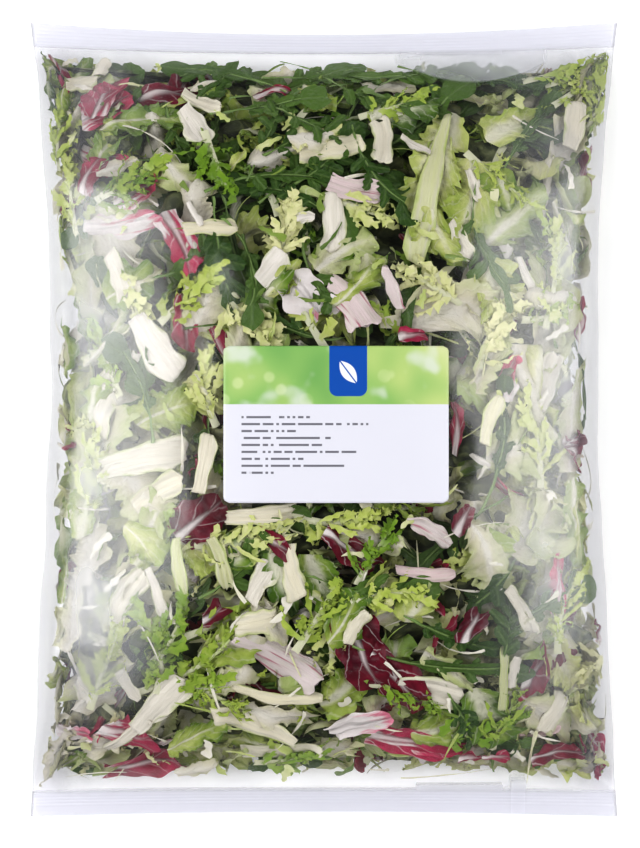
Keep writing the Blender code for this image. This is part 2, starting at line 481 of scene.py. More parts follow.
# The milk is greyer at the very rims, painted shade along the film's edge, and whiter in the welds and the
# strips by the ends.
white = across.ease(0.116, 0.132).mix((0.72, 0.73, 0.78), (0.38, 0.38, 0.46))
white = weld.most(from_middle.ease(0.180, 0.192)).mix(white, (0.84, 0.84, 0.93))
milk = tree.add("BsdfPrincipled", {"Base Color": white, "Roughness": 0.3, "Normal": bump})
clear = tree.add("BsdfTransparent", {"Color": (0.985, 0.985, 0.99, 1.0)})
skin = tree.add("MixShader", {0: alpha, 1: clear, 2: milk})
gloss = tree.add("BsdfGlossy", {"Color": (1.0, 1.0, 1.0, 1.0), "Roughness": 0.19, "Normal": bump})
slant = tree.add("LayerWeight", {"Blend": 0.5, "Normal": bump}, out=1)
mirror = (0.065 + slant**5.0 * 0.32) * (1.0 - y.ease(0.115, 0.165) * 0.55)
show(tree, tree.add("MixShader", {0: mirror, 1: skin, 2: gloss}))
film = make_piece("film", [patch(film_points, film_share, ring=True)], film_material)
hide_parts("bag")


# The label: coated white paper on its own glue, stuck over the fullest part of the front.
# It is printed with a strip of soft greens, a blue tab with a leaf on it, and rows of small grey bars.

LABEL_LIFT = 0.0007
LABEL_CORNER = 0.0028
LABEL_EDGE = 0.0005
LABEL_STEP = 0.0012
STRIP_FOOT = 10.0
TAB_MIDDLE, TAB_HALF, TAB_FOOT, TAB_CORNER = 6.0, 9.4, 14.0, 4.0
BAR_LENGTHS = (34, 63, 27, 46, 40, 57, 31, 51, 16)
BAR_START, BAR_TOP, BAR_PITCH = -47.0, 3.6, 3.45
BAR_HALF, BAR_DASH = 0.55, 1.35
MARK_LEVEL, MARK_HALF, MARK_BREADTH = 26.0, 7.0, 3.4

label_rows = np.linspace(-1.0, 1.0, int(2.0 * label_half.y / LABEL_STEP)) * label_half.y
past_corner = np.clip(np.abs(label_rows) - (label_half.y - LABEL_CORNER), 0.0, LABEL_CORNER)
inset = LABEL_CORNER - np.sqrt(LABEL_CORNER**2 - past_corner**2)
columns = np.linspace(-1.0, 1.0, int(2.0 * label_half.x / LABEL_STEP))
label_x = (label_half.x - inset)[:, None] * columns[None, :]
label_y = np.broadcast_to(label_rows[:, None], label_x.shape)
label_x, label_y = (np.pad(grid, 1, mode="edge") for grid in (label_x, label_y))
skirt = np.pad(np.zeros(np.array(label_x.shape) - 2), 1, constant_values=1.0)
share_along = (label_middle.y + label_y) / HALF_LENGTH
label_points = film_section(np.arcsin((label_middle.x + label_x) / half_width(share_along)), share_along)
ripple = np.sin(210.0 * label_x + 90.0 * label_y) + np.sin(-130.0 * label_x + 170.0 * label_y + 2.0)
label_points[..., 2] += LABEL_LIFT + 0.00006 * ripple - LABEL_EDGE * skirt
label_flat = np.stack([label_x, label_y, 0.0 * label_x], axis=-1)

label_material, tree = new_material("label_paper")
flat = tree.read("flat")
# From here, x and y are millimetres from the middle of the label.
x, y = [metres * 1000.0 for metres in flat.split()[:2]]
grain = flat.noise(1800.0, 2.0)
clouds = flat.noise(34.0, 1.0)
washes = flat.noise(15.0, 0.0)
discs = 1.0 - tree.add("TexVoronoi", {"Vector": flat, "Scale": 95.0}).ease(0.30, 0.42)
greens = (washes * 0.75 + clouds * 0.5 + x * 0.0035 - 0.12).ramp(
    (0.20, (0.110, 0.330, 0.090)), (0.42, (0.270, 0.500, 0.140)), (0.58, (0.500, 0.640, 0.220)),
    (0.72, (0.680, 0.720, 0.380)), (0.90, (0.740, 0.780, 0.600)),
)
blots = flat.noise(48.0, 2.0).ease(0.52, 0.70)
strip = (discs * clouds.ease(0.45, 0.65) * 0.35).mix(greens, (0.80, 0.84, 0.52))
strip = (blots * 0.75).mix(strip, (0.72, 0.76, 0.70))
paper = (grain * 0.10).mix((0.75, 0.75, 0.83), (0.69, 0.69, 0.77))
bars = None
for i, length in enumerate(BAR_LENGTHS):
    level = BAR_TOP - i * BAR_PITCH
    bar = within(y, level - BAR_HALF, level + BAR_HALF, 0.12) * within(x, BAR_START, BAR_START + length, 0.2)
    dash = tree.maths("FLOOR", x / BAR_DASH) + 61.0 * i
    words = tree.add("TexWhiteNoise", {"W": dash}, noise_dimensions="1D").ease(0.16, 0.18)
    bars = bar * words if bars is None else bars.most(bar * words)
from_tab = x - TAB_MIDDLE
corner = (abs(from_tab) - (TAB_HALF - TAB_CORNER)).most(0.0) ** 2.0
corner = (corner + (TAB_FOOT + TAB_CORNER - y).most(0.0) ** 2.0) ** 0.5
tab = 1.0 - corner.ease(TAB_CORNER - 0.15, TAB_CORNER + 0.15)
lean = from_tab * 0.8 + (y - MARK_LEVEL) * 0.6
rise = (y - MARK_LEVEL) * 0.8 - from_tab * 0.6
blade_half = (1.0 - (rise / MARK_HALF) ** 2.0).most(0.0) * MARK_BREADTH
leaf_mark = 1.0 - (abs(lean) - blade_half).ease(-0.15, 0.15)
leaf_mark = leaf_mark * abs(lean).ease(0.20, 0.45) * within(rise, -MARK_HALF, MARK_HALF, 0.1)
colour = (bars * 0.85).mix(paper, (0.07, 0.07, 0.09))
colour = y.ease(STRIP_FOOT - 0.15, STRIP_FOOT + 0.15).mix(colour, strip)
colour = tab.mix(colour, (0.004, 0.085, 0.420))
colour = (tab * leaf_mark).mix(colour, (0.86, 0.88, 0.94))
bump = grain.bump(0.15, 0.0001)
coated = {"Base Color": colour, "Roughness": 0.38, "Normal": bump, "Coat Weight": 0.15}
show(tree, tree.add("BsdfPrincipled", {**coated, "Coat Roughness": 0.25}))
label_patch = patch(label_points, flat=label_flat)
printed_label = make_piece("printed_label", [label_patch], label_material)
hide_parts("label")


# The middle: one lumpy body for leaves so deep in the bag that only their darkness shows between the others.
# It follows the film from inside, so no light passes right through, and its near-black colour is painted
# shade.

CORE_DEPTH = 0.0185
CORE_END_GAPS = (0.046, 0.030)
CORE_PALER = (0.060, 0.115)
CORE_LUMPS = 0.0013
ANY_ANGLE = 6.3
SKIN_DEPTHS = SKIN[:, SKIN_COLUMNS // 2, 2] - SKIN[:, 0, 2]
ROOM_SHARE = 0.46


def under_film(turn, run, depth):
    """Points at a depth under the film, measured square to it. Near the seals there is less room."""
    row = (run - RUN_ENDS[0]) / (RUN_ENDS[1] - RUN_ENDS[0]) * (SKIN_ROWS - 1)
    room = ROOM_SHARE * np.interp(row, np.arange(SKIN_ROWS), SKIN_DEPTHS) + 1e-6
    depth = room * np.tanh(depth / room)
    return read_table(SKIN, turn, run) - read_table(SKIN_NORMALS, turn, run) * depth[..., None]


draw = np.random.default_rng(7)
run_grid, turn_grid = np.meshgrid(
    np.linspace(RUN_ENDS[0] + CORE_END_GAPS[0], RUN_ENDS[1] - CORE_END_GAPS[1], 110),
    np.linspace(-0.5, 0.5, 140, endpoint=False), indexing="ij",
)
lumps = np.zeros_like(run_grid)
for _ in range(26):
    turns = draw.integers(3, 24)
    waves = draw.uniform(-60.0, 60.0)
    lumps += np.sin(2.0 * math.pi * (turns * turn_grid + waves * run_grid) + draw.uniform(0.0, ANY_ANGLE))
core_points = under_film(turn_grid, run_grid, CORE_DEPTH + CORE_LUMPS * lumps)
material, tree = new_material("packed_middle")
place = tree.add("TexCoord", out="Object")
clumps = tree.add("TexNoise", {"Vector": place, "Scale": 90.0, "Detail": 4.0, "Distortion": 1.5})
# Painted shade: the deep leaves are coloured near black, lighter towards the sides.
colour = clumps.ramp(
    (0.30, (0.006, 0.008, 0.003)), (0.52, (0.030, 0.038, 0.012)), (0.72, (0.110, 0.120, 0.045)),
)
outer = abs(place.split()[0]).ease(*CORE_PALER)
paler = clumps.ease(0.35, 0.65).mix((0.060, 0.085, 0.030), (0.360, 0.400, 0.200))
colour = (outer * 0.75).mix(colour, paler)
bump = clumps.bump(0.6, 0.002)
show(tree, tree.add("BsdfPrincipled", {"Base Color": colour, "Roughness": 0.7, "Normal": bump}))
make_piece("packed_middle", [patch(core_points, ring=True, caps=True)], material)


# Rocket: narrow dark leaves with a few pointed lobes a side, a pale midrib and a long thin stalk.
# They go in whole, so each is a flat blade that has bent, twisted and been pressed against the film.

SETTLE = 0.0016
GOLDEN_STEPS = (0.7548776662, 0.5698402910)
LEAVES_STOP = 0.0155
FRONT_BIAS = 0.06
# Painted shade in the leaves' colour: the depths under the film where it starts and where it is full, how
# dark it gets, and its colour.
DEPTHS_SHADED = (0.0020, 0.0150)
DEEPEST_SHADE = 0.42
SHADE = (0.016, 0.024, 0.008)
WAX_GLOSS = 0.28


def blade(random, half, length, thick=None, turn=0.0, lift=0.0, hook=0.0, roll=0.0, cup=0.0, fold=0.0,
          frill=0.0, waves=4.0, crumple=0.0, pleats=(0, 0.0), slant=0.0, cuts=(0.0, 0.0), lanes=8, tint=0.5):
    """A leaf as a grid of points along its midrib, or round it where it has a thickness.

    half is its half width down its length, or one such row for each side.
    """
    half = np.atleast_2d(half)
    rows = half.shape[1]
    s = np.linspace(0.0, 1.0, rows)
    v = np.linspace(-1.0, 1.0, lanes + 1)[None, :]
    body = np.zeros((rows, 1))
    if thick is not None:
        round_it = np.linspace(0.0, 2.0 * math.pi, 2 * lanes, endpoint=False)[None, :]
        v = np.cos(round_it)
        body = thick[:, None] * np.sin(round_it) * (1.0 - 0.55 * v**2)
    yaw = turn * (s - 0.5)
    pitch = lift * (s - 0.5) + hook * s**4
    twist = roll * (s - 0.5)
    ahead = np.stack([np.cos(pitch) * np.cos(yaw), np.cos(pitch) * np.sin(yaw), -np.sin(pitch)], axis=-1)
    level = np.stack([-np.sin(yaw), np.cos(yaw), np.zeros_like(yaw)], axis=-1)
    upward = np.cross(ahead, level)
    side = level * np.cos(twist)[:, None] + upward * np.sin(twist)[:, None]
    normal = -level * np.sin(twist)[:, None] + upward * np.cos(twist)[:, None]
    spine = np.cumsum(ahead, axis=0) * length / (rows - 1)
    spine -= spine.mean(axis=0)
    width = np.where(v < 0.0, half[0][:, None], half[-1][:, None])
    bend = cup if abs(cup) > 1e-3 else 1e-3
    lateral = width * np.sin(bend * v) / bend
    height = -width * (1.0 - np.cos(bend * v)) / bend
    lateral, height = lateral * math.cos(fold), height + np.abs(lateral) * math.sin(fold)
    starts = random.uniform(0.0, ANY_ANGLE, 4)
    wave = 2.0 * math.pi * waves * s[:, None] + starts[0] + 2.1 * (v > 0.0)
    wave = wave + 1.1 * np.sin(0.41 * wave + starts[1])
    edge = np.abs(v) ** 1.8
    height = height + pleats[1] * np.cos(2.0 * math.pi * pleats[0] * v + starts[2]) * width / width.max()
    height = height + frill * edge * (np.sin(wave) + 0.4 * np.sin(2.7 * wave + starts[2]))
    lateral = lateral + 0.4 * frill * edge * np.cos(wave + starts[3]) * np.sign(v)
    x = s[:, None] * length
    y = v * width
    for _ in range(4):
        heading = random.uniform(0.0, ANY_ANGLE)
        size = random.uniform(0.30, 0.90) * min(length, 0.045)
        along = math.cos(heading) * x + math.sin(heading) * y
        phase = random.uniform(0.0, ANY_ANGLE)
        height = height + crumple * size * np.sin(2.0 * math.pi * along / size + phase)
    ahead_by = slant * np.abs(lateral) + (cuts[0] * (1.0 - s) + cuts[1] * s)[:, None] * lateral
    points = spine[:, None, :] + side[:, None, :] * lateral[..., None]
    points = points + ahead[:, None, :] * ahead_by[..., None]
    points = points + normal[:, None, :] * (height + body)[..., None]
    mark = random.uniform(0.0, 9.0)
    share = np.stack(np.broadcast_arrays(s[:, None], v, tint), axis=-1).astype(float)
    flat = np.stack(np.broadcast_arrays(x, y, mark), axis=-1).astype(float)
    solid = thick is not None
    return {"points": points, "share": share, "flat": flat, "ring": solid, "caps": solid}


def bent(random, ease_off, **spreads):
    """How far a leaf bends in each way, drawn in turn. ease_off below 1 makes it lie flatter."""
    return {way: ease_off * random.normal(0.0, spread) for way, spread in spreads.items()}


def turned(axis, angle):
    return np.array(Matrix.Rotation(angle, 3, axis))


def lay(grids, place, heading, depth, patches, tip=0.0, heel=0.0, press=0.95, reach=0.014, stop=LEAVES_STOP):
    """Lays a leaf, made of one or more grids, against the inside of the film at a turn and run.

    Its highest part is pressed flat at the depth given, and the rest reaches in by up to reach more.
    """
    grids = [grids] if isinstance(grids, dict) else grids
    facing = turned("Z", heading) @ turned("Y", tip) @ turned("X", heel)
    placed = [grid["points"] @ facing.T for grid in grids]
    every = np.concatenate([points.reshape(-1, 3) for points in placed])
    level = np.quantile(every[:, 2], press)
    room = RUN_ENDS[1] - stop
    run = min(max(place[1], -room - every[:, 1].min()), room - every[:, 1].max())
    for grid, points in zip(grids, placed):
        sunk = SETTLE * np.logaddexp(0.0, (level - points[..., 2]) / SETTLE)
        sunk = depth + reach * np.tanh(sunk / reach)
        where = under_film(place[0] + points[..., 0] / GIRTH, run + points[..., 1], sunk)
        patches.append(patch(where, grid["share"], grid["flat"], grid["ring"], grid["caps"], sunk))


def leaf_material(name):
    """A leaf's material, its tree and the place on the flat leaf, with what is known of each spot.

    First the share along the leaf, the share out from its midrib and its tint. Then metres along,
    metres out and a number that is the leaf's own.
    """
    material, tree = new_material(name)
    along, across, tint = tree.read("share").split()
    flat = tree.read("flat")
    length_run, aside, mark = flat.split()
    return material, tree, flat, (along, abs(across), tint), (length_run, abs(aside), mark)


def leaf_surface(tree, colour, bump, roughness, glow=None, through=0.0):
    """A leaf's surface, with painted shade: its colour darkens where it reaches down between the others.

    A thin leaf has a glow: its skin is waxy, and light of that colour comes through it.
    """
    sunk = tree.add("Attribute", out="Fac", attribute_name="sunk")
    # Painted shade: the base colour is mixed towards SHADE the deeper the leaf lies under the film.
    shaded = (sunk.ease(*DEPTHS_SHADED) * DEEPEST_SHADE).mix(colour, SHADE)
    surface = {"Base Color": shaded, "Roughness": roughness, "Normal": bump}
    if glow is None:
        return tree.add("BsdfPrincipled", surface)
    leaf = tree.add("BsdfPrincipled", {**surface, "Specular IOR Level": WAX_GLOSS})
    lit = tree.add("BsdfTranslucent", {"Color": rgba(glow)})
    return tree.add("MixShader", {0: through, 1: leaf, 2: lit})


def spread(count, random, favour=None, shallow=0.0050, deep=0.014):
    """Places all over the bag with no pattern to be seen, more of them in front, and depths for them."""
    first = random.random(2)
    given = 0
    i = 0
    while given < count:
        i += 1
        u = (first[0] + i * GOLDEN_STEPS[0]) % 1.0 - 0.5
        turn = u - FRONT_BIAS * math.sin(2.0 * math.pi * u)
        run = ((first[1] + i * GOLDEN_STEPS[1]) % 1.0 * 2.0 - 1.0) * (RUN_ENDS[1] - LEAVES_STOP)
        if favour is None or random.random() < favour(turn, run):
            given += 1
            near = shallow * (1.0 - 0.5 * eased(abs(turn), 0.14, 0.20))
            yield (turn, run), near + deep * random.random() ** 1.3


def lay_spread(make, count, random, leans, patches, favour=None, press=0.95, room=0.008, **depths):
    """Lays leaves all over the bag. make takes a place, and leans is how far they tip and heel."""
    for place, depth in spread(count, random, favour, **depths):
        leaf = make(place)
        lay(leaf, place, random.uniform(0.0, ANY_ANGLE), depth, patches, tip=random.normal(0.0, leans[0]),
            heel=random.normal(0.0, leans[1]), press=press, stop=LEAVES_STOP + random.uniform(0.0, room))


def feathered(random, rib, places, outlines, reaches, aside, wild, tint, **shape):
    """A rib with lobes along it. Each lobe starts at a place on the rib and leaves it at an angle."""
    grids = [rib]
    spine = rib["points"][:, rib["points"].shape[1] // 2]
    for at, outline, reach, angle in zip(places, outlines, reaches, aside):
        k = min(int(at * (len(spine) - 1)), len(spine) - 2)
        ahead = spine[k + 1] - spine[k]
        bends = bent(random, wild, turn=0.7, lift=1.2, hook=1.2, roll=1.0)
        lobe = blade(random, outline, reach, **bends, tint=tint, **shape)
        facing = turned("Z", math.atan2(ahead[1], ahead[0]) + angle)
        facing = facing @ turned("Y", wild * random.normal(0.0, 0.4))
        facing = facing @ turned("X", wild * random.normal(0.0, 0.5))
        root = lobe["points"][0, lobe["points"].shape[1] // 2]
        lobe["points"] = (lobe["points"] - root) @ facing.T + spine[k]
        lobe["share"][..., 0] = 0.40 + 0.60 * lobe["share"][..., 0]
        grids.append(lobe)
    rib["share"][..., 0] *= 0.38
    return grids


def rocket(random, length, wide, tint, turn, lobes=6):
    s = np.linspace(0.0, 1.0, 22)
    body = 0.0007 + 0.0022 * wide * eased(s, 0.30, 0.55)
    body = body * (1.0 + 0.25 * np.sin(19.0 * s + random.uniform(0, 6)))
    rib = blade(
        random, body, length, turn=turn, **bent(random, 1.0, lift=1.0, roll=0.7, fold=0.3),
        frill=0.0006, crumple=0.02, lanes=4, tint=tint,
    )
    a = np.linspace(0.0, 1.0, 11)
    places = [0.97]
    reaches = [length * random.uniform(0.24, 0.34)]
    aside = [random.normal(0.0, 0.15)]
    outlines = [random.uniform(0.0055, 0.0080) * wide * np.sin(math.pi * (0.10 + 0.84 * a)) ** 0.8]
    for i in range(lobes):
        places.append(0.40 + 0.52 * (i + random.uniform(0.0, 0.6)) / lobes)
        reaches.append(random.uniform(0.0065, 0.0135) * wide * (0.75 + 0.35 * i / lobes))
        outlines.append(random.uniform(0.0020, 0.0032) * wide * np.sin(math.pi * (0.20 + 0.72 * a)) ** 0.6)
        aside.append((1 if i % 2 else -1) * random.uniform(0.65, 1.15))
    return feathered(
        random, rib, places, outlines, reaches, aside, 0.45, tint, cup=random.normal(0.0, 0.6),
        frill=0.0006, waves=2.0, crumple=0.03, lanes=4, slant=0.1,
    )


def front_place(x, y):
    """The turn and run of the point of the film's front that is seen at x and y."""
    share = np.interp(y, crown_line[:, 1], CROWN_SHARES)
    run = float(np.interp(share, CROWN_SHARES, crown_run))
    row = SKIN[int(round((run - RUN_ENDS[0]) / (RUN_ENDS[1] - RUN_ENDS[0]) * (SKIN_ROWS - 1)))]
    front = slice(SKIN_COLUMNS // 4, 3 * SKIN_COLUMNS // 4 + 2)
    turn = float(np.interp(x, row[front, 0], np.linspace(-0.5, 0.5, SKIN_COLUMNS)[front]))
    return turn, run


# x and y in millimetres from the middle of the bag, heading in degrees, length in millimetres, bend.
SHOWN_ROCKET = [
    (52, -123, -10, 78, 0.5), (57, -106, -24, 50, 0.2), (-26, 121, 4, 72, -0.9), (-17, 141, 30, 56, -0.5),
    (-34, 160, 12, 52, -0.4), (-53, 88, -82, 50, 0.3), (-40, 80, -70, 56, -0.5), (-34, 66, -76, 60, 0.4),
    (-22, 176, 20, 60, 0.5), (8, 179, -12, 66, 0.4), (-58, 180, 8, 50, -0.4), (-8, 152, -30, 60, 0.8),
    (-30, 142, 70, 52, 0.3), (-10, 108, 150, 62, 0.6), (30, 176, 10, 58, -0.5), (62, 178, -8, 52, 0.4),
    (-74, 76, 20, 44, 0.6), (-2, 70, -60, 56, 0.5), (44, 150, 40, 64, 0.4), (70, -150, -60, 60, 0.5),
    (92, -112, 80, 46, 0.4), (112, -96, 30, 52, -0.6), (88, -20, 75, 60, 0.5), (-92, 12, 110, 50, 0.4),
    (16, -84, -10, 54, 0.7), (80, 92, -75, 58, 0.5), (100, 140, 60, 60, -0.5), (-44, -76, 40, 48, 0.5),
    (-44, 176, 160, 56, 0.5), (-8, 184, 8, 48, 0.3), (46, 182, 20, 50, -0.4), (18, 168, -30, 54, 0.6),
    (-62, 168, 50, 44, 0.4), (82, 176, -20, 48, 0.5), (-4, 128, 40, 50, 0.5), (24, 128, -60, 54, 0.6),
]
draw = np.random.default_rng(11)
patches = []
for x, y, heading, length, bend in SHOWN_ROCKET:
    leaf = rocket(draw, length * MILLI, draw.uniform(0.9, 1.3), draw.random(), bend)
    lay(leaf, front_place(x * MILLI, y * MILLI), math.radians(heading), draw.uniform(1.8, 4.0) * MILLI,
        patches, heel=draw.normal(0.0, 0.3), press=0.8, reach=0.008)
lay_spread(
    lambda place: rocket(
        draw, draw.uniform(0.045, 0.080), draw.uniform(0.9, 1.5),
        draw.random(), draw.uniform(-1.2, 1.2), draw.choice((0, 4, 6, 7)),
    ),
    120, draw, (0.2, 0.5), patches, press=0.8, favour=lambda turn, run: (
        (0.22 + 0.78 * eased(run, 0.0, 0.14)) * (1.0 - 0.7 * eased(abs(turn), 0.13, 0.18))
    ),
)

material, tree, flat, (along, _, tint), (length_run, aside, _) = leaf_material("rocket")
mottle = flat.noise(260.0, 3.0)
in_lobe = along.ease(0.380, 0.400)
midrib = (1.0 - aside.ease(0.0002, 0.0011)) * (1.0 - in_lobe * 0.75)
stalk = 1.0 - along.ease(0.10, 0.17)
veins = (length_run * 260.0 - aside * 320.0).lines(0.40, 0.49)
dark = (tint * 0.8 + mottle * 0.5 - 0.10).mix((0.022, 0.062, 0.012), (0.105, 0.190, 0.034))
veined = (veins * 0.32).mix(dark, (0.17, 0.28, 0.08))
colour = (midrib * 0.75).most(stalk).mix(veined, (0.27, 0.40, 0.13))
bump = (mottle + midrib).bump(0.9, 0.0016)
show(tree, leaf_surface(tree, colour, bump, 0.40, glow=(0.16, 0.32, 0.03), through=0.15))
make_piece("rocket_leaves", patches, material)


# Endive: broad blades, cut across, with toothed and ruffled edges and a pale rib.
# The outer leaves are mid green, and those from the heart of the head are nearly yellow.

EDGE_PITCHES = (0.028, 0.013, 0.0065, 0.0040)
SHOWN_REACH = 0.0070
SHOWN_STOP = SEAL_BAND + 0.003


def uneven(random, run, pitches, amounts):
    """A wandering line along a leaf's edge: one wave for each pitch, none of them quite regular."""
    line = np.zeros_like(run)
    for pitch, amount in zip(pitches, amounts):
        wave = 2.0 * math.pi * run / (pitch * random.uniform(0.8, 1.25)) + random.uniform(0.0, ANY_ANGLE)
        line += amount * np.sin(wave + 0.7 * np.sin(0.37 * wave + random.uniform(0.0, ANY_ANGLE)))
    return line


def endive(random, length, wide, tint, ease_off=1.0):
    s = np.linspace(0.0, 1.0, int(np.clip(length / 0.0013, 20, 46)))
    halves = []
    teeth = random.uniform(0.02, 0.11)
    for _ in range(2):
        body = 0.58 + 0.42 * np.sin(math.pi * np.clip(0.08 + 0.86 * s, 0.0, 1.0))
        body = body * (1.0 + uneven(random, s * length, EDGE_PITCHES, (0.18, 0.12, 0.07, teeth)))
        body = wide / 2.0 * body * np.clip((1.02 - s) / 0.14, 0.0, 1.0) ** 0.5
        halves.append(np.maximum(body, 0.0006))
    folded = random.choice((-1.0, 1.0)) * random.uniform(0.6, 1.2)
    return blade(
        random, halves, length, turn=random.normal(0.0, 0.6),
        **bent(random, ease_off, lift=1.2, hook=1.5, roll=0.9, cup=1.1),
        fold=folded if random.random() < 0.35 else random.normal(0.0, 0.3),
        frill=random.uniform(0.0012, 0.0042), waves=length / random.uniform(0.008, 0.016),
        pleats=(random.uniform(0.5, 1.5), random.uniform(0.0, 0.0022)),
        crumple=ease_off * random.uniform(0.04, 0.105), slant=0.25, cuts=random.normal(0.0, 0.5, 2),
        tint=tint,
    )


def lay_shown(make, rows, random, depths, patches, press=0.95):
    """Lays the leaves that stand out, each in its own place. make takes a length and the end of its row."""
    for x, y, heading, length, *rest in rows:
        leaf = make(length * MILLI, *rest)
        lay(leaf, front_place(x * MILLI, y * MILLI), math.radians(heading), random.uniform(*depths) * MILLI,
            patches, press=press, reach=SHOWN_REACH, stop=SHOWN_STOP)


def some_tint(random, middle, wander):
    return float(np.clip(random.normal(middle, wander), 0.0, 1.0))


def paleness(place):
    """How pale leaves are at a place: the greenest lie in the upper front, and the palest low down."""
    turn, run = place
    return 0.32 + 0.34 * eased(abs(turn), 0.07, 0.20) + 0.36 * (1.0 - eased(run, -0.08, 0.08))


def broad_rib(edge, along, breadth):
    """A pale rib as broad as a share of its leaf, which fades towards the tip."""
    return (1.0 - (edge / breadth).ease(0.20, 1.0)) * (1.0 - along.ease(0.35, 1.0))


# x, y, heading and length as for rocket, width in millimetres, then tint: 0 is dark green and 100 is
# nearly yellow.
SHOWN_ENDIVE = [
    (-134, 168, -98, 42, 16, 35), (-92, 153, 8, 50, 22, 36), (-114, 138, 60, 24, 13, 60),
    (-134, 35, 80, 26, 13, 34), (-126, 52, -70, 26, 14, 30), (-44, 132, 55, 15, 8, 70),
    (-5, 166, -60, 26, 18, 55), (-6, 144, 10, 24, 16, 92), (56, 124, -104, 82, 27, 66),
    (40, 158, 10, 36, 26, 12), (-21, 70, 40, 24, 16, 62), (15, 68, 48, 54, 24, 45),
    (72, 106, -104, 56, 26, 58), (-100, 66, 20, 30, 22, 40), (-80, 4, 20, 36, 26, 50),
    (-59, 13, -60, 24, 17, 80), (-88, -64, 40, 30, 20, 44), (-122, -44, 70, 34, 20, 50),
    (129, -50, -84, 40, 14, 62), (-1, -82, -62, 32, 22, 30), (29, -87, 70, 24, 20, 74),
    (48, -92, 60, 26, 16, 58), (10, -137, 50, 34, 24, 46), (62, -158, 20, 42, 26, 42),
    (123, -124, -60, 30, 22, 82), (132, -184, 8, 24, 9, 66), (-65, -163, 30, 36, 26, 42),
    (-60, -66, -20, 34, 24, 60), (-118, 12, 80, 34, 24, 42), (-108, -92, 60, 32, 22, 46),
    (-136, -60, -80, 30, 12, 30), (88, 64, -60, 36, 24, 70), (110, 26, 80, 44, 28, 76),
    (96, 150, 30, 34, 22, 60), (-93, -62, -50, 26, 18, 60), (-51, -116, 20, 30, 25, 52),
    (-129, -175, 40, 24, 9, 38), (-134, -74, 85, 40, 9, 40), (84, -152, -60, 38, 26, 26),
    (91, 116, -70, 30, 21, 38), (129, 94, 80, 32, 18, 62), (-45, -66, 40, 30, 18, 30),
    (10, -100, 60, 30, 20, 34), (-30, 60, 40, 30, 22, 30), (58, 96, -70, 40, 18, 62),
    (-144, 172, -82, 40, 6, 8), (-19, -81, -58, 34, 20, 14), (-129, 176, 60, 30, 15, 34),
]
draw = np.random.default_rng(23)
patches = []
lay_shown(
    lambda length, wide, tint: endive(draw, length, wide * MILLI, tint / 100, ease_off=0.6),
    SHOWN_ENDIVE, draw, (1.2, 3.0), patches,
)
lay_spread(
    lambda place: endive(
        draw, draw.uniform(0.028, 0.066), draw.uniform(0.020, 0.046),
        some_tint(draw, paleness(place) + draw.choice((-0.25, 0.20)), 0.13),
    ),
    250, draw, (0.3, 0.5), patches,
)

material, tree, flat, (along, edge, tint), (length_run, aside, mark) = leaf_material("endive")
mottle = flat.noise(150.0, 4.0)
net = tree.add("TexVoronoi", {"Vector": flat, "Scale": 260.0}, feature="SMOOTH_F1")
side_veins = (length_run * 130.0 - aside * 150.0 + mottle * 1.8).lines(0.36, 0.50)
leaf_colour = (tint + (mottle - 0.5) * 0.5 + (edge - 0.6) * -0.26 - (along - 0.5) * 0.16).ramp(
    (0.00, (0.040, 0.100, 0.012)), (0.28, (0.150, 0.265, 0.030)), (0.52, (0.420, 0.515, 0.110)),
    (0.76, (0.730, 0.750, 0.320)), (1.00, (0.930, 0.890, 0.560)),
)
pale = (0.91, 0.88, 0.73)
breadth = (mark * 3.7).fract() ** 1.6 * 0.70 + 0.10
rib = broad_rib(edge, along, breadth)
veined = (side_veins * 0.26).mix(leaf_colour, pale)
colour = (rib * 0.85).mix(veined, pale)
bump = (net * 0.5 + mottle - side_veins * 0.05).bump(1.0, 0.0030)
show(tree, leaf_surface(tree, colour, bump, 0.34, glow=(0.42, 0.52, 0.10), through=0.18))
make_piece("endive_leaves", patches, material)


# Escarole: the broadest and softest blades, cream to yellow green, with ruffled edges and a wide white rib.
# They lie closest to the film along the bag's sides, where the bag is packed loosest.

